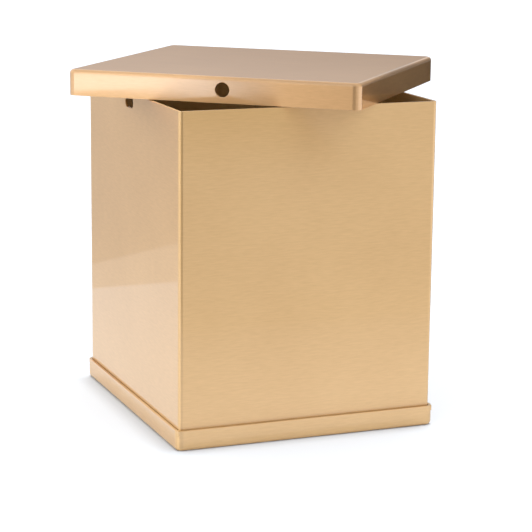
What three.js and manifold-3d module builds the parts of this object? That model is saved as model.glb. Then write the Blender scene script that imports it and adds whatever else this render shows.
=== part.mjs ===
// Cremation urn of brushed bronze sheet: a four-wall body standing in a folded base tray,
// with a folded lid that lies turned on the open rim.
// Millimetres, +Z up. The origin is the centre of the base's underside.
// X runs along the front wall, Y from the front wall to the back wall.
import * as THREE from 'three';
import { mergeVertices } from 'three/addons/utils/BufferGeometryUtils.js';
import Module from 'manifold-3d';

// Driving dimensions of the body
const bodyWidth = 149; // X, outside the left and right walls
const bodyDepth = 163; // Y, outside the front and back walls
const rimHeight = 183.3; // from the surface it stands on to the body's open rim
const sheet = 1.5; // thickness of the metal of every piece
const bodyBend = 2.4; // outside radius of the body's upright bends

// Screw holes, drilled straight through both side walls
const bodyHoleHeight = 6.5; // the body's holes are oblong, so that a screw finds the lid's hole
const bodyHoleLength = 14.4;
const bodyHoleOffset = 4.1; // behind the middle of the side wall
const lidHole = 7.9; // diameter of the lid's round holes
const lidHoleOffset = 6.9;
const rimMargin = 2; // metal left between the rim and the body's hole
const skirtMargin = 3.3; // metal left between the lid's hole and the skirt's lower edge

// Driving dimensions of the base and of the folds
const baseHeight = 11.4;
const trayFold = 2.2; // outside radius of the fold between a tray's flat face and its skirt
const leastBend = 0.4; // the sharpest inside corner that the sheet takes

// Play between pieces
const fitGap = 0.3; // around the body, inside the base and inside a seated lid
const restGap = 0.3; // between one piece and another that it rests on

// How the lid lies on the rim
const lidTurnDegrees = -130.7; // from its seated place
const lidShiftX = 1.7;
const lidShiftY = 2.8;

// The finish
const bodyColour = 0xd2ac78;
const lidColour = 0xc9a079;
const satin = 0.38;

// How finely round shapes are stepped
const bendSteps = 8; // a quarter bend
const foldSteps = 5;
const holeSteps = 16; // half a hole
const mergeDistance = 1e-5;

// Sizes worked out from the driving dimensions
const overlap = sheet + fitGap; // how far a tray's skirt stands outside the body's wall
const trayWidth = bodyWidth + 2 * overlap;
const trayDepth = bodyDepth + 2 * overlap;
const trayBend = bodyBend + overlap;
const bodyFoot = sheet + restGap; // the body stands on the base's floor
const wallHeight = rimHeight - bodyFoot;
const holeDrop = rimMargin + bodyHoleHeight / 2; // from the rim down to the hole's centre
const lidHoleHeight = skirtMargin + lidHole / 2; // from the skirt's lower edge up to the hole's centre
const lidHeight = lidHoleHeight + holeDrop + restGap + sheet; // so the holes line up on a seated lid
const reach = 10; // how far a cutting solid runs past the metal that it cuts

const wasm = await Module();
wasm.setup();

// A rectangle with round corners, centred on the origin. Straight sides join the arcs by themselves.
function roundedOutline(path, width, depth, radius) {
  const x = width / 2 - radius;
  const y = depth / 2 - radius;
  path.absarc(x, y, radius, 0, Math.PI / 2);
  path.absarc(-x, y, radius, Math.PI / 2, Math.PI);
  path.absarc(-x, -y, radius, Math.PI, 1.5 * Math.PI);
  path.absarc(x, -y, radius, 1.5 * Math.PI, 2 * Math.PI);
  return path;
}

function solidFrom(geometry) {
  const bare = geometry.clone();
  bare.deleteAttribute('normal');
  bare.deleteAttribute('uv');
  const merged = mergeVertices(bare, mergeDistance);
  const mesh = new wasm.Mesh({
    numProp: 3,
    vertProperties: merged.attributes.position.array,
    triVerts: Uint32Array.from(merged.index.array),
  });
  return new wasm.Manifold(mesh);
}

function geometryFrom(solid) {
  const mesh = solid.getMesh();
  const geometry = new THREE.BufferGeometry();
  geometry.setAttribute('position', new THREE.BufferAttribute(mesh.vertProperties, 3));
  geometry.setIndex(new THREE.BufferAttribute(mesh.triVerts, 1));
  geometry.computeVertexNormals();
  return geometry;
}

// A block with round upright corners and one folded end: its flat, folded face is at z = 0, and
// the block runs down to z = -height, where it is cut square.
function foldedBlock(width, depth, height, bend, fold) {
  const outline = roundedOutline(new THREE.Shape(), width, depth, bend);
  const rounding = Math.min(fold, bend - leastBend); // a fold is sharper than the bends it meets
  const block = new THREE.ExtrudeGeometry(outline, {
    depth: height + reach,
    curveSegments: bendSteps,
    bevelThickness: rounding,
    bevelSize: rounding,
    bevelOffset: -rounding,
    bevelSegments: foldSteps,
  });
  block.translate(0, 0, -height - reach - rounding);
  const cutter = new THREE.BoxGeometry(2 * width, 2 * depth, 2 * (reach + rounding));
  cutter.translate(0, 0, -height - reach - rounding);
  return solidFrom(block).subtract(solidFrom(cutter));
}

// A tray of sheet metal, open downwards: its top is at z = 0, and its skirt reaches down to -height.
function foldedTray(height) {
  const outer = foldedBlock(trayWidth, trayDepth, height, trayBend, trayFold);
  const hollow = foldedBlock(
    trayWidth - 2 * sheet,
    trayDepth - 2 * sheet,
    height + reach,
    trayBend - sheet,
    Math.max(trayFold - sheet, leastBend),
  );
  return outer.subtract(hollow.translate([0, 0, -sheet]));
}

// A drill through both side walls, along X: round, or oblong along Y where it is longer than high.
function drill(length, height, y, z) {
  const radius = height / 2;
  const outline = new THREE.Shape();
  if (length > height) {
    const straight = (length - height) / 2;
    outline.absarc(straight, 0, radius, -Math.PI / 2, Math.PI / 2);
    outline.absarc(-straight, 0, radius, Math.PI / 2, 1.5 * Math.PI);
  } else {
    outline.absarc(0, 0, radius, 0, 2 * Math.PI);
  }
  const bit = new THREE.ExtrudeGeometry(outline, {
    depth: trayWidth + 2 * reach,
    curveSegments: holeSteps,
    bevelEnabled: false,
  });
  bit.translate(0, 0, -trayWidth / 2 - reach);
  bit.rotateY(Math.PI / 2);
  bit.rotateX(Math.PI / 2);
  bit.translate(0, y, z);
  return solidFrom(bit);
}

function piece(name, solid, color) {
  const material = new THREE.MeshStandardMaterial({ color, roughness: satin, metalness: 1 });
  const mesh = new THREE.Mesh(geometryFrom(solid), material);
  mesh.name = name;
  return mesh;
}

// The body: a tube with round upright bends, and a hole through each side wall near the rim
function makeBody() {
  const outline = roundedOutline(new THREE.Shape(), bodyWidth, bodyDepth, bodyBend);
  const inside = roundedOutline(
    new THREE.Path(),
    bodyWidth - 2 * sheet,
    bodyDepth - 2 * sheet,
    Math.max(bodyBend - sheet, leastBend),
  );
  outline.holes.push(inside);
  const tube = new THREE.ExtrudeGeometry(outline, {
    depth: wallHeight,
    curveSegments: bendSteps,
    bevelEnabled: false,
  });
  const holes = drill(bodyHoleLength, bodyHoleHeight, bodyHoleOffset, wallHeight - holeDrop);
  const body = piece('body', solidFrom(tube).subtract(holes), bodyColour);
  body.position.z = bodyFoot;
  return body;
}

// The base: the tray turned over, its floor on the ground and its skirt standing up round the body
function makeBase() {
  const base = piece('base', foldedTray(baseHeight), bodyColour);
  base.rotation.x = Math.PI;
  return base;
}

// The lid: the tray with a hole in each of its two long sides
function makeLid() {
  const holes = drill(lidHole, lidHole, lidHoleOffset, lidHoleHeight - lidHeight);
  const lid = piece('lid', foldedTray(lidHeight).subtract(holes), lidColour);
  lid.position.set(lidShiftX, lidShiftY, rimHeight + restGap + lidHeight);
  lid.rotation.z = THREE.MathUtils.degToRad(lidTurnDegrees);
  return lid;
}

const urn = new THREE.Group();
urn.add(makeBody(), makeBase(), makeLid());

export default urn;
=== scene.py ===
# %% [markdown]
# # A cremation urn of brushed bronze sheet
#
# The urn is three pieces of folded sheet metal: a tall box without top or bottom, a shallow tray that
# it stands in, and a shallow cap that lies turned on the open rim. Nothing on it is carved or cast, so
# its looks come from three things that this lesson builds one after another: round bends that catch
# the light, thin walls with real cut edges, and a brushed metal under a clear coat that mirrors the
# room around it.
#
# The urn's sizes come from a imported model, the frame. Every length is in metres.

# %% Load the frame
import math

import bpy
from mathutils import Matrix, Vector


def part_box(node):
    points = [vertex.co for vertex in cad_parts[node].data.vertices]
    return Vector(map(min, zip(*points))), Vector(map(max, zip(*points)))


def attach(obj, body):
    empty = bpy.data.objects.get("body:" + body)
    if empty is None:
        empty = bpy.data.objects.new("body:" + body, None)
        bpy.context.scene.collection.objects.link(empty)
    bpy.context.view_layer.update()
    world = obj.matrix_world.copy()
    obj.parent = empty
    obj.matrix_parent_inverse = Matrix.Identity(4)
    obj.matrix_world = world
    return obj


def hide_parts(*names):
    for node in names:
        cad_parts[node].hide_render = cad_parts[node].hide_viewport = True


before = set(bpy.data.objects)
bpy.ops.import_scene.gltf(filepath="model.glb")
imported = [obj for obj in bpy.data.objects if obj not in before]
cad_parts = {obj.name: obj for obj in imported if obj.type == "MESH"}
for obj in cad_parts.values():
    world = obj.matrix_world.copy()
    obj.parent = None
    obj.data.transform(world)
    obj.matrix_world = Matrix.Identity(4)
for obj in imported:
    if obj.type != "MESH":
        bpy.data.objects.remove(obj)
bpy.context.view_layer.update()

mm = 0.001
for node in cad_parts:
    low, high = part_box(node)
    print(node, "is", [round((high[i] - low[i]) / mm, 1) for i in range(3)], "mm")

# %% [markdown]
# ## Sizes
#
# The frame gives each piece's box. What a box can't say, such as the thickness of the sheet and the
# roundness of its folds, is written here by name. The lid lies turned, so its box is larger than the
# lid: its own width and depth are the base's, because both trays are folded to fit the same body.

# %% Measure the pieces
body_low, body_high = (Vector(corner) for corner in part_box("body"))
base_low, base_high = (Vector(corner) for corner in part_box("base"))
lid_low, lid_high = (Vector(corner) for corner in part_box("lid"))

sheet = 1.5 * mm
fit_gap = (base_high.x - body_high.x) - sheet
body_bend = 2.4 * mm
tray_bend = body_bend + fit_gap + sheet
tray_fold = 2.2 * mm
tray_width = base_high.x - base_low.x
tray_depth = base_high.y - base_low.y
print("gap round the body", round(fit_gap / mm, 2), "mm")

# %% [markdown]
# ## The camera
#
# The photograph was taken from a low place in front and to the left, through a long lens. Its direction
# is written as two angles, how far it turns right and how far it looks down, and a slight roll.

# %% Place the camera
camera_place = Vector((-0.4018, -1.0241, 0.3151))
turn_right = math.radians(21.77)
look_down = math.radians(12.06)
roll = math.radians(0.61)
focal_pixels = 1937.8
image_pixels = 532

lens = bpy.data.cameras.new("camera")
lens.sensor_width = 36
lens.lens = focal_pixels / image_pixels * lens.sensor_width
camera = bpy.data.objects.new("camera", lens)
bpy.context.scene.collection.objects.link(camera)
camera.matrix_world = (
    Matrix.Translation(camera_place)
    @ Matrix.Rotation(-turn_right, 4, "Z")
    @ Matrix.Rotation(math.pi / 2 - look_down, 4, "X")
    @ Matrix.Rotation(roll, 4, "Z")
)
bpy.context.scene.camera = camera
print("lens", round(lens.lens, 1), "mm")

# %% [markdown]
# ## Working as by hand
#
# Bending sheet metal is easy to copy with a block: its upright edges are bevelled first, then the edges
# of its flat face, the open side is taken away, and a Solidify modifier gives the skin its thickness.
# An operator acts on whatever is selected, so each helper first deselects everything and then selects
# faces, edges or corners by where they are.

# %% Select by place
hair = 0.01 * mm  # places that are closer than this count as the same


def alone(piece):
    """Leaves edit mode and selects one piece and nothing else."""
    if bpy.context.object and bpy.context.object.mode != "OBJECT":
        bpy.ops.object.mode_set(mode="OBJECT")
    bpy.ops.object.select_all(action="DESELECT")
    piece.select_set(True)
    bpy.context.view_layer.objects.active = piece


def pick(piece, kind, wanted):
    """Selects the faces, edges or corners whose points are wanted, and goes to edit mode."""
    alone(piece)
    bpy.ops.object.mode_set(mode="EDIT")
    bpy.ops.mesh.select_mode(type=kind)
    bpy.ops.mesh.select_all(action="DESELECT")
    bpy.ops.object.mode_set(mode="OBJECT")
    mesh = piece.data
    count = 0
    for item in {"FACE": mesh.polygons, "EDGE": mesh.edges, "VERT": mesh.vertices}[kind]:
        corners = [item.index] if kind == "VERT" else item.vertices
        item.select = wanted([mesh.vertices[i].co for i in corners])
        count += item.select
    bpy.ops.object.mode_set(mode="EDIT")
    return count


def done():
    bpy.ops.object.mode_set(mode="OBJECT")


def level(points, height):
    return all(abs(p.z - height) < hair for p in points)


def upright(points):
    return not level(points, points[0].z) and (points[0] - points[1]).xy.length < hair


# %% [markdown]
# ## Folding
#
# A brake press folds real sheet along a line. Here a block takes the place of the folded box: a bevel
# along an edge is the bend, and its width is the bend's outside radius. The block starts as a cube that
# is added at its size and place, and its scale is applied, so that a bevel is as wide on every side.

# %% Fold a block
bend_steps = 8
fold_steps = 6


def block(name, low, high):
    bpy.ops.object.select_all(action="DESELECT")
    size = Vector(high) - Vector(low)
    bpy.ops.mesh.primitive_cube_add(size=1, location=(Vector(low) + Vector(high)) / 2, scale=size)
    piece = bpy.context.object
    piece.name = piece.data.name = name
    bpy.ops.object.transform_apply(location=True, rotation=True, scale=True)
    return piece


def bend_upright_edges(piece, radius):
    count = pick(piece, "EDGE", upright)
    bpy.ops.mesh.bevel(offset=radius, segments=bend_steps, affect="EDGES")
    done()
    print(piece.name, "has", count, "upright bends of", round(radius / mm, 1), "mm")


def fold_rim(piece, height):
    pick(piece, "EDGE", lambda points: level(points, height))
    bpy.ops.mesh.bevel(offset=tray_fold, segments=fold_steps, affect="EDGES")
    done()


def open_side(piece, *heights):
    pick(piece, "FACE", lambda points: any(level(points, height) for height in heights))
    bpy.ops.mesh.delete(type="FACE")
    done()


# %% [markdown]
# ## Giving the skin its metal
#
# The skin is thickened inwards, so its outside stays at the true size. Doubles are merged and the faces
# turned outwards before that, because a wall whose faces point both ways would grow both ways.

# %% Thicken the skin
weld_distance = 0.001 * mm


def modify(piece, kind, **settings):
    """Adds a modifier and applies it."""
    alone(piece)
    modifier = piece.modifiers.new(kind.title(), kind)
    for key, value in settings.items():
        setattr(modifier, key, value)
    bpy.ops.object.modifier_apply(modifier=modifier.name)


def thicken(piece):
    alone(piece)
    bpy.ops.object.mode_set(mode="EDIT")
    bpy.ops.mesh.select_mode(type="VERT")
    bpy.ops.mesh.select_all(action="SELECT")
    bpy.ops.mesh.remove_doubles(threshold=weld_distance)
    bpy.ops.mesh.normals_make_consistent(inside=False)
    done()
    modify(piece, "SOLIDIFY", thickness=sheet, offset=-1, use_even_offset=True)


# %% [markdown]
# ## Drilling
#
# A screw goes through each side wall, so both walls are drilled in one pass along X. The drill is a
# cylinder turned on its side, and a Boolean modifier takes it away from the wall. The body's holes are
# oblong: for them the drill's front half is moved forwards and its back half backwards.

# %% The drill
drill_sides = 64


def drill(piece, height, length, y, z):
    bpy.ops.object.select_all(action="DESELECT")
    bpy.ops.mesh.primitive_cylinder_add(
        vertices=drill_sides,
        radius=height / 2,
        depth=2 * tray_width,
        location=(0, y, z),
        rotation=(0, math.pi / 2, 0),
    )
    bit = bpy.context.object
    bpy.ops.object.transform_apply(location=True, rotation=True, scale=True)
    stretch = (length - height) / 2
    pick(bit, "VERT", lambda points: points[0].y < y - hair)
    bpy.ops.transform.translate(value=(0, -stretch, 0))
    pick(bit, "VERT", lambda points: points[0].y > y + hair)
    bpy.ops.transform.translate(value=(0, stretch, 0))
    done()
    modify(piece, "BOOLEAN", operation="DIFFERENCE", object=bit, solver="EXACT")
    bpy.data.objects.remove(bit)


# %% [markdown]
# ## Filing
#
# Every cut edge of real sheet is filed a little, so a narrow bevel goes on all sharp edges: it draws
# the thin bright line that shows where a wall ends. The round bends turn by less than the sharp angle
# at each step, so they are left alone. Weighted normals keep the large faces flat beside the bends.

# %% File the edges
deburr = 0.25 * mm
deburr_steps = 2
sharp_edge = math.radians(50)
smooth_up_to = math.radians(40)


def file_edges(piece):
    modify(
        piece,
        "BEVEL",
        width=deburr,
        segments=deburr_steps,
        limit_method="ANGLE",
        angle_limit=sharp_edge,
    )
    alone(piece)
    bpy.ops.object.shade_smooth_by_angle(angle=smooth_up_to)
    modify(piece, "WEIGHTED_NORMAL", mode="FACE_AREA", keep_sharp=True)
    print(piece.name, len(piece.data.polygons), "faces")


# %% [markdown]
# ## Outside, inside, top
#
# Only the outside is brushed and coated. The inside keeps the dull skin of the rolled sheet, and the
# lid's top is brushed in a way of its own, so each face is given the number of its finish while the
# piece still stands square to the axes: 0 outside, 1 inside, 2 top.

# %% Number the faces
inside, top = 1, 2
skin_depth = 0.9 * sheet  # a face deeper than this in the piece's box is on the inside


def number_faces(piece, low, high, with_top=False):
    """Numbers the faces by where they lie in the piece's box, from low to high."""
    for face in piece.data.polygons:
        points = [piece.data.vertices[i].co for i in face.vertices]
        amid = all(
            low[i] + skin_depth < p[i] < high[i] - skin_depth for p in points for i in (0, 1)
        )
        if amid and all(p.z < high[2] - skin_depth for p in points):
            face.material_index = inside
        if amid and with_top and level(points, high[2]):
            face.material_index = top


# %% [markdown]
# ## The body
#
# One sheet bent round four corners and closed by a seam makes the body. It has no top and no bottom of
# its own: the base closes it below. Being open above, it has no outside face there, so the box in which
# its faces are numbered is taken far higher than the body.

# %% Fold the body
body_hole_height = 6.5 * mm
body_hole_length = 14.4 * mm
body_hole_back = 4.1 * mm  # behind the middle of the wall
body_hole_drop = 5.25 * mm  # from the rim down to the middle of the hole
open_above = Vector((0, 0, 1))

body = block("urn_body", body_low, body_high)
bend_upright_edges(body, body_bend)
open_side(body, body_low.z, body_high.z)
thicken(body)
drill(body, body_hole_height, body_hole_length, body_hole_back, body_high.z - body_hole_drop)
file_edges(body)
number_faces(body, body_low, body_high + open_above)

# %% [markdown]
# ## The base
#
# A tray with a low skirt. The fold along its foot is tight, and the skirt stands a hair's breadth off
# the body's wall, which leaves a thin dark line between them.

# %% Fold the base
base = block("urn_base", base_low, base_high)
bend_upright_edges(base, tray_bend)
fold_rim(base, base_low.z)
open_side(base, base_high.z)
thicken(base)

# %% [markdown]
# ## Beads of weld
#
# The corners of the base's skirt are closed by a short bead of weld at the top. A bead is made from the
# two narrow faces in the middle of a round corner: bisect cuts them off at the bead's foot, and inset
# raises them. The bead stays inside the square corner that the round one leaves free.

# %% Weld the corners
bead_height = 3.2 * mm
bead_edge = 0.3 * mm
bead_rise = 0.55 * mm
least_height = 1 * mm  # the cut edge's own faces are lower than this
nearly_diagonal = 0.7


def on_corner(points):
    """Tells whether a face lies in the middle of a round upright corner, on its outside."""
    middle = sum(points, Vector()) / len(points)
    across = abs(middle.x) - (base_high.x - tray_bend)
    along = abs(middle.y) - (base_high.y - tray_bend)
    return (
        min(across, along) > nearly_diagonal * max(across, along)
        and math.hypot(across, along) > tray_bend - sheet / 2
        and middle.z > base_high.z - bead_height
        and max(p.z for p in points) - min(p.z for p in points) > least_height
    )


pick(base, "FACE", lambda points: True)
bpy.ops.mesh.bisect(plane_co=(0, 0, base_high.z - bead_height), plane_no=(0, 0, 1))
done()
print("faces under the four beads:", pick(base, "FACE", on_corner))
bpy.ops.mesh.inset(thickness=bead_edge, depth=bead_rise)
done()
file_edges(base)
number_faces(base, base_low, base_high + open_above)

# %% [markdown]
# ## The lid
#
# The lid is the same tray turned over, with a deeper skirt. It is made square to the axes, drilled like
# the body, and only then turned to the way it lies on the rim.

# %% Fold the lid
lid_hole = 7.9 * mm
lid_hole_back = 6.9 * mm
lid_hole_rise = 7.25 * mm  # from the skirt's lower edge up to the middle of the hole
lid_turn = math.radians(-130.7)

lid_corner = Vector((tray_width / 2, tray_depth / 2, lid_high.z))
lid = block("urn_lid", (-lid_corner.x, -lid_corner.y, lid_low.z), lid_corner)
bend_upright_edges(lid, tray_bend)
fold_rim(lid, lid_high.z)
open_side(lid, lid_low.z)
thicken(lid)
drill(lid, lid_hole, lid_hole, lid_hole_back, lid_low.z + lid_hole_rise)
file_edges(lid)
number_faces(lid, -lid_corner, lid_corner, with_top=True)

# %% Lay the lid on the rim
lid_centre = (lid_low + lid_high) / 2
alone(lid)
lid.rotation_euler.z = lid_turn
lid.location = (lid_centre.x, lid_centre.y, 0)
bpy.ops.object.transform_apply(location=True, rotation=True, scale=True)
print("lid turned by", round(math.degrees(lid_turn), 1), "degrees")

# %% [markdown]
# ## Writing materials as sums
#
# A material is a web of nodes. To keep it readable, an output socket is wrapped in a small class that
# knows how to add, subtract and multiply, and one method makes every other node.

# %% Wires and finishes
class Wire:
    """An output socket. Sums, differences and products of wires add Math nodes."""

    def __init__(self, finish, socket):
        self.finish = finish
        self.socket = socket

    def join(self, operation, first, second):
        return self.finish.node("ShaderNodeMath", {"operation": operation}, {0: first, 1: second})

    def __add__(self, other):
        return self.join("ADD", self, other)

    __radd__ = __add__

    def __sub__(self, other):
        return self.join("SUBTRACT", self, other)

    def __rsub__(self, other):
        return self.join("SUBTRACT", other, self)

    def __mul__(self, other):
        return self.join("MULTIPLY", self, other)

    __rmul__ = __mul__


class Finish:
    """The nodes of a material, or of the world."""

    def __init__(self, owner):
        owner.use_nodes = True
        self.tree = owner.node_tree

    def node(self, kind, settings=None, inputs=None, output=0):
        made = self.tree.nodes.new(kind)
        for key, value in (settings or {}).items():
            if key == "stops":
                self.set_stops(made.color_ramp, value)
            else:
                setattr(made, key, value)
        self.feed(made, inputs or {})
        return Wire(self, made.outputs[output])

    def feed(self, made, inputs):
        for key, value in inputs.items():
            if isinstance(value, Wire):
                self.tree.links.new(value.socket, made.inputs[key])
            else:
                made.inputs[key].default_value = value

    def shader(self, inputs):
        self.feed(self.tree.nodes["Principled BSDF"], inputs)

    def set_stops(self, ramp, stops):
        while len(ramp.elements) < len(stops):
            ramp.elements.new(0.5)
        for element, (place, colour) in zip(ramp.elements, stops):
            element.position = place
            element.color = (*colour, 1)

    def mix(self, share, first, second):
        return self.node(
            "ShaderNodeMix",
            {"data_type": "RGBA"},
            {"Factor": share, "A": first, "B": second},
            output="Result",
        )


# %% [markdown]
# ## Brushed bronze
#
# Brushing leaves countless fine scratches that all run one way. Each is far too fine to model, so the
# metal gets what they do together: it smears a reflection across the grain, which is the shader's
# anisotropy, and its tone and gloss waver in short streaks along the grain, which are a noise that is
# stretched along it. Over the metal lies a clear, smooth coat. Seen squarely the coat hardly shows, but
# along a wall that is seen at a slant it mirrors the room sharply.
#
# Under a coat, light always meets the metal steeply, so the metal keeps its colour even when it is seen
# along its surface. The specular tint says so: it is the metal's own tone at a grazing look, except on
# the lid's top, where it is a painted tint.
#
# A Mapping node scales a pattern before it turns it, so a turned grain takes two of them: the first
# turns the pattern to the lid, and the second stretches it.

# %% The brushing
dark_streak = (0.91, 0.88, 0.84)  # shares of the metal's tone
pale_streak = (1.09, 1.12, 1.16)
cloudiness = 0.9  # how much the tone wavers from place to place, beside the streaks
scratch_depth = 0.01 * mm
satin = 0.5
wall_slant = (0.87, 0.72, 0.57)  # the tone at a grazing look


def shade(tone, shares):
    return (*[part * share for part, share in zip(tone, shares)], 1)


def brushed_bronze(name, tone, grain, grain_turn=0, smear=0.88, slant=wall_slant):
    """grain says how many streaks a metre there are along X, Y and Z, before grain_turn turns them."""
    material = bpy.data.materials.new(name)
    finish = Finish(material)
    place = finish.node("ShaderNodeTexCoord", output="Object")
    turned = finish.node("ShaderNodeMapping", inputs={"Vector": place, "Rotation": (0, 0, grain_turn)})
    along = finish.node("ShaderNodeMapping", inputs={"Vector": turned, "Scale": grain})
    scratches = finish.node(
        "ShaderNodeTexNoise", inputs={"Vector": along, "Scale": 1.0, "Detail": 3.0}
    )
    cloud = finish.node("ShaderNodeTexNoise", inputs={"Vector": place, "Scale": 16.0, "Detail": 2.0})
    share = scratches + cloudiness * (cloud - 0.5)
    bump = finish.node(
        "ShaderNodeBump", inputs={"Height": scratches, "Strength": 0.25, "Distance": scratch_depth}
    )
    finish.shader(
        {
            "Base Color": finish.mix(share, shade(tone, dark_streak), shade(tone, pale_streak)),
            "Roughness": satin + 0.1 * (scratches - 0.5) + 0.05 * (cloud - 0.5),
            "Normal": bump,
            "Metallic": 1.0,
            "Specular Tint": (*slant, 1),
            "Anisotropic": smear,
            "Anisotropic Rotation": 0.25,
            "Coat Weight": 1.0,
            "Coat Roughness": 0.06,
            "Coat IOR": 1.6,
        }
    )
    print("made", name)
    return material


# %% [markdown]
# ## One bronze for each side
#
# On the walls and skirts the streaks are long and level: many along Z, few along X and Y. The lid is of
# a slightly redder sheet. Its top is brushed along the lid's longer side, but so finely that a
# reflection is blurred alike every way, and the top shows one even tone. Part of that tone is painted
# reflection: the top's grazing tone is made darker and pinker than the lid's metal.

# %% The bronzes
wall_tone = (0.845, 0.55, 0.25)
lid_tone = (0.82, 0.50, 0.24)
level_grain = (150, 150, 1300)
lengthwise_grain = (1100, 60, 1100)

wall_bronze = brushed_bronze("wall_bronze", wall_tone, level_grain)
base_bronze = brushed_bronze("base_bronze", wall_tone, level_grain)
lid_bronze = brushed_bronze("lid_bronze", lid_tone, level_grain, -lid_turn)
lid_top_bronze_painted_tint = brushed_bronze(
    "lid_top_bronze_painted_tint",
    lid_tone,
    lengthwise_grain,
    -lid_turn,
    smear=0.0,
    # painted reflection: the top's grazing tone is darker and pinker than the lid's metal
    slant=(0.78, 0.55, 0.36),
)

# %% [markdown]
# ## The dull inside
#
# Rolled sheet that was never brushed is matt and paler. Its skin is a fine even grain, with faint, wide
# stains.

# %% The rolled skin
darker_stain = (0.84, 0.65, 0.38, 1)
paler_stain = (0.90, 0.71, 0.44, 1)
grain_depth = 0.03 * mm

rolled_bronze = bpy.data.materials.new("rolled_bronze")
rolled = Finish(rolled_bronze)
place = rolled.node("ShaderNodeTexCoord", output="Object")
skin = rolled.node("ShaderNodeTexNoise", inputs={"Vector": place, "Scale": 900.0, "Detail": 3.0})
stain = rolled.node("ShaderNodeTexNoise", inputs={"Vector": place, "Scale": 30.0, "Detail": 2.0})
bump = rolled.node(
    "ShaderNodeBump", inputs={"Height": skin, "Strength": 0.3, "Distance": grain_depth}
)
rolled.shader(
    {
        "Base Color": rolled.mix(stain, darker_stain, paler_stain),
        "Roughness": 0.55 + 0.12 * (skin - 0.5),
        "Metallic": 1.0,
        "Normal": bump,
    }
)
print("made", rolled_bronze.name)

# %% [markdown]
# ## Dressing the frame
#
# Each new piece belongs to the urn's one body and takes the place of a solid of the frame. A piece's
# materials stand in the order of the numbers that its faces were given.

# %% Dress the pieces
for piece, node, finishes in (
    (body, "body", (wall_bronze, rolled_bronze)),
    (base, "base", (base_bronze, rolled_bronze)),
    (lid, "lid", (lid_bronze, rolled_bronze, lid_top_bronze_painted_tint)),
):
    for material in finishes:
        piece.data.materials.append(material)
    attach(piece, "root")
    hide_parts(node)
    count = sum(face.material_index == inside for face in piece.data.polygons)
    print(piece.name, "has", count, "inside faces")

# %% [markdown]
# ## The floor
#
# The urn stands on pale paper that is lit until it looks pure white. The paper is a little blue, which
# makes up for the warm light that the metal throws on it.

# %% Lay the paper
paper_tone = (0.57, 0.6, 0.64, 1)

bpy.ops.object.select_all(action="DESELECT")
bpy.ops.mesh.primitive_plane_add(size=30, location=(0, 0, 0))
floor = bpy.context.object
floor.name = "floor"
paper = bpy.data.materials.new("paper")
Finish(paper).shader({"Base Color": paper_tone, "Roughness": 0.9, "Specular IOR Level": 0.0})
floor.data.materials.append(paper)
print("floor", [round(side, 1) for side in floor.dimensions.xy], "m")

# %% [markdown]
# ## Light on the floor
#
# Most of the floor's light is even and comes from all round. The rest is a lamp almost straight
# overhead, which draws the narrow shadow that hugs the foot. Only the body and the base block that
# lamp: the lid's corners reach out over the floor and would throw two stray patches.

# %% Light the floor
white = (1, 1, 1)
room_light = 1.45
lamp_from = Vector((0.03, 0.02, 1))

world = bpy.data.worlds.new("room")
bpy.context.scene.world = world
room = Finish(world)
room.feed(room.tree.nodes["Background"], {"Color": (*white, 1), "Strength": room_light})

lamp = bpy.data.lights.new("overhead", "SUN")
lamp.energy = 1.9
lamp.angle = math.radians(5.5)
overhead = bpy.data.objects.new("overhead", lamp)
bpy.context.scene.collection.objects.link(overhead)
overhead.rotation_euler = lamp_from.to_track_quat("Z", "Y").to_euler()
overhead.visible_glossy = False

foot = bpy.data.collections.new("foot")
foot.objects.link(body)
foot.objects.link(base)
overhead.light_linking.blocker_collection = foot

# %% [markdown]
# ## What the metal mirrors
#
# A metal shows little but what it mirrors. So a tent stands round the urn, bright and dark in the right
# places, with a few flat cards in it. They only glow, and the camera and the floor don't see them: they
# are there for the metal alone.

# %% Glowing materials
def glow(name, brightness, tint=white):
    """A material that only glows. Its brightness is compared with a white of 1."""
    material = bpy.data.materials.new(name)
    finish = Finish(material)
    finish.shader(
        {
            "Base Color": (0, 0, 0, 1),
            "Specular IOR Level": 0.0,
            "Emission Color": (*[brightness * part for part in tint], 1),
            "Emission Strength": 1.0,
        }
    )
    return material, finish


def only_for_metal(obj, material):
    obj.data.materials.append(material)
    obj.visible_camera = False
    obj.visible_diffuse = False
    obj.visible_shadow = False


# %% [markdown]
# ## The tent
#
# The tent is a large sphere whose inside is painted by direction. Three rings of greys go round it, one
# low, one in the middle and one high, and each hands over to the next with a soft edge. Overhead all
# is one pale grey. A ring's darker stretches do what dark cloth would do in a real tent: the one in
# front, on the left, darkens the near upright bends, and the one behind, on the right, darkens the
# lid's top and its right side.

# %% Raise the tent
tent_size = 6.0

bpy.ops.object.select_all(action="DESELECT")
bpy.ops.mesh.primitive_uv_sphere_add(
    segments=64, ring_count=32, radius=tent_size, location=(0, 0, 0)
)
tent = bpy.context.object
tent.name = "tent"
tent_glow, tent_finish = glow("tent", 1.0)
way = tent_finish.node(
    "ShaderNodeVectorMath",
    {"operation": "NORMALIZE"},
    {0: tent_finish.node("ShaderNodeTexCoord", output="Object")},
    output="Vector",
)
across, along, height = (
    tent_finish.node("ShaderNodeSeparateXYZ", inputs={0: way}, output=axis) for axis in "XYZ"
)
turn = tent_finish.node("ShaderNodeMath", {"operation": "ARCTAN2"}, {0: across, 1: along})
round_share = turn * (0.5 / math.pi) + 0.5
only_for_metal(tent, tent_glow)

# %% Paint the tent
overhead_grey = (0.95, 0.95, 0.95, 1)
low_to_middle = (0.12, 0.22)  # heights as shares of the tent's radius
middle_to_high = (0.36, 0.48)
high_to_overhead = (0.68, 0.84)


def greys(*stops):
    return {"stops": [(place, (grey,) * 3) for place, grey in stops]}


def ring(*stops):
    """Greys round the horizon, each at its bearing: 0 is straight behind, 90 to the right."""
    shares = greys(*[(bearing / 360 + 0.5, grey) for bearing, grey in stops])
    return tent_finish.node("ShaderNodeValToRGB", shares, {0: round_share})


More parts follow.
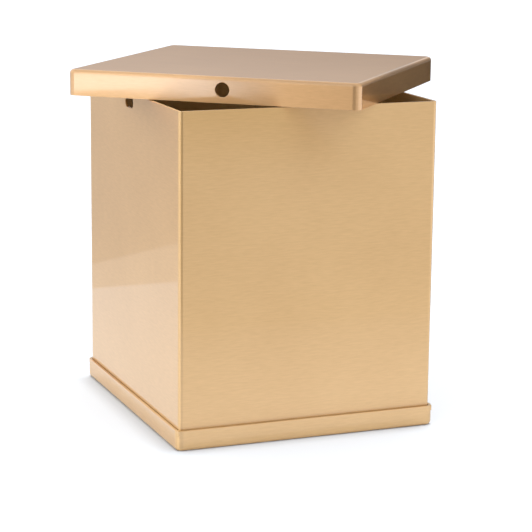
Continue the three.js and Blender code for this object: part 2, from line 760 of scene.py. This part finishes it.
low_ring = ring(
    (-180, 0.65), (-165, 0.35), (-119, 0.35), (-105, 0.8), (-75, 0.9), (-10, 0.9), (4, 0.46),
    (18, 0.36), (28, 0.25), (48, 0.12), (66, 0.12), (90, 0.8), (170, 0.9), (180, 0.65),
)
middle_ring = ring(
    (-180, 0.6), (-165, 0.3), (-142, 0.3), (-126, 0.9), (-105, 1.0), (-75, 1.2), (-10, 1.2),
    (4, 0.95), (36, 0.85), (48, 0.3), (66, 0.3), (90, 0.75), (170, 0.74), (180, 0.6),
)
high_ring = ring(
    (-180, 0.75), (-165, 0.7), (-142, 0.8), (-126, 1.3), (-105, 1.3), (-75, 1.35), (-10, 1.35),
    (4, 1.05), (36, 1.0), (48, 0.4), (66, 0.4), (90, 0.85), (170, 0.86), (180, 0.75),
)
light = low_ring
for upper, (start, end) in (
    (middle_ring, low_to_middle),
    (high_ring, middle_to_high),
    (overhead_grey, high_to_overhead),
):
    climb = tent_finish.node("ShaderNodeValToRGB", greys((start, 0.0), (end, 1.0)), {0: height})
    light = tent_finish.mix(climb, light, upper)
tent_finish.shader({"Emission Color": light})
print("tent nodes", len(tent_finish.tree.nodes))

# %% [markdown]
# ## Cards
#
# A card is one flat, glowing face. Most lie just above the floor, because the camera looks down on the
# urn, so every upright wall mirrors the floor. A few stand up. A card's corners are written as places
# on the floor, X and Y, and a fading card changes its brightness along Y.

# %% Cut cards
def card(name, corners, brightness, tint=white):
    mesh = bpy.data.meshes.new(name)
    mesh.from_pydata(corners, [], [list(range(len(corners)))])
    obj = bpy.data.objects.new(name, mesh)
    bpy.context.scene.collection.objects.link(obj)
    material, finish = glow(name, brightness, tint)
    only_for_metal(obj, material)
    print("card", name, [round(side, 2) for side in obj.dimensions], "m")
    return finish


def fading_card(name, corners, start, end, tint=white):
    """start and end are each a place along Y and the brightness there."""
    most = max(start[1], end[1])
    finish = card(name, corners, 1)
    place = finish.node("ShaderNodeTexCoord", output="Object")
    y = finish.node("ShaderNodeSeparateXYZ", inputs={0: place}, output="Y")
    share = (y - start[0]) * (1 / (end[0] - start[0]))
    colours = [[part * lit / most for part in tint] for lit in (start[1], end[1])]
    fade = finish.node("ShaderNodeValToRGB", {"stops": list(enumerate(colours))}, {0: share})
    finish.shader({"Emission Color": fade, "Emission Strength": most})


low_card = 1 * mm
raised_card = 2 * low_card  # lies over a low card


def lying(height, *places):
    return [(x, y, height) for x, y in places]


def standing(start, end, bottom, top):
    return [(*start, bottom), (*end, bottom), (*end, top), (*start, top)]


# %% [markdown]
# ## What the left wall mirrors
#
# The left wall is seen at a slant, so its coat mirrors the floor behind it sharply, like a still pond.
# The card close by is the brightest and slightly blue: its far edge, which runs along X, is the
# slanted line across the wall. Above that line the wall mirrors two darker cards, farther off.

# %% Cards behind, on the left
cool = (0.92, 0.98, 1.05)
card(
    "near_card",
    lying(low_card, (-1.2, 0.31), (-0.05, 0.31), (-0.05, 0.6), (-1.2, 1.4)),
    brightness=0.92,
)
card(
    "far_card",
    lying(raised_card, (-1.7, 1.34), (-0.01, 0.29), (0.6, 3.4), (-1.7, 3.4)),
    brightness=0.7,
)
card(
    "close_card",
    lying(low_card, (-0.9, -0.25), (-0.085, -0.12), (-0.085, 0.31), (-0.9, 0.31)),
    brightness=1.25,
    tint=cool,
)

# %% [markdown]
# ## What the right-hand sides mirror
#
# The lid's right side is the darkest side of all, so the card that it mirrors, behind and to the
# right, is nearly black. Next to it a bright card draws the light line along the right-hand bends.

# %% Cards on the right
card(
    "right_card",
    lying(low_card, (0.16, 0.22), (0.28, 0.05), (3.6, 1.4), (1.7, 3.5)),
    brightness=0.03,
)
card(
    "side_card",
    lying(low_card, (0.5, 0.1), (0.42, -0.62), (2.3, -3.3), (3.6, 1.35)),
    brightness=1.6,
)

# %% [markdown]
# ## What the near corner and the front mirror
#
# The front wall mirrors the floor in front of it, slightly to the right. The near upright bends sweep
# over everything from there to the left, and a dark flag there gives them their dark line.

# %% Cards in front
card(
    "front_left_card",
    lying(low_card, (-3.5, -3.5), (-0.1, -3.5), (-0.1, -0.3), (-3.5, -0.3)),
    brightness=0.2,
)
card(
    "front_right_card",
    lying(low_card, (-0.1, -3.5), (2.2, -3.5), (0.4, -0.65), (0.35, -0.3), (-0.1, -0.3)),
    brightness=0.81,
)
card(
    "dark_flag",
    standing((0.05, -1.2), (-0.97, -0.652), 0, 0.28),
    brightness=0.05,
)

# %% [markdown]
# ## What the lid's front mirrors
#
# The left end of the lid's front is the brightest place on the urn. It mirrors a lamp box on the left,
# with a dimmer end and a very bright strip along its foot that fades towards the front. The strip's
# fade is what dims the lid's front from left to right.

# %% Box on the left
box_start = (-1.35, -0.80)
box_end = (-1.47, -0.33)
box_foot = 0.06
box_top = 0.9
card("left_box", standing(box_start, box_end, box_foot, box_top), brightness=2.3)
card("left_box_end", standing((-1.30, -0.90), box_start, box_foot, box_top), brightness=0.9)
fading_card(
    "left_strip",
    standing((-1.31, -0.86), box_end, 0, box_foot),
    start=(-0.86, 0.0),
    end=(-0.75, 5.5),
)

# %% [markdown]
# ## Shades on the front wall
#
# Two more cards lie over the floor in front. The far one darkens as it goes away, which is the soft
# shade high on the front wall, under the lid. The close one brightens towards the urn, which lightens
# the wall's foot and the base's skirt.

# %% Fading cards in front
fading_card(
    "front_far_card",
    lying(raised_card, (0.22, -0.88), (0.38, -0.86), (0.60, -1.6), (0.38, -1.62)),
    start=(-1.4, 0.0),
    end=(-0.9, 0.81),
)
fading_card(
    "front_close_card",
    lying(raised_card, (-0.45, -0.32), (0.6, -0.32), (0.5, -0.09), (-0.12, -0.09)),
    start=(-0.32, 0.85),
    end=(-0.15, 1.3),
    tint=(0.97, 1.0, 1.08),
)

# %% [markdown]
# ## Plain colours
#
# Blender's usual view bends bright tones so that they never reach white. The floor has to reach it, so
# the plain view is chosen.

# %% Choose the view
bpy.context.scene.view_settings.view_transform = "Standard"
print("view", bpy.context.scene.view_settings.view_transform)
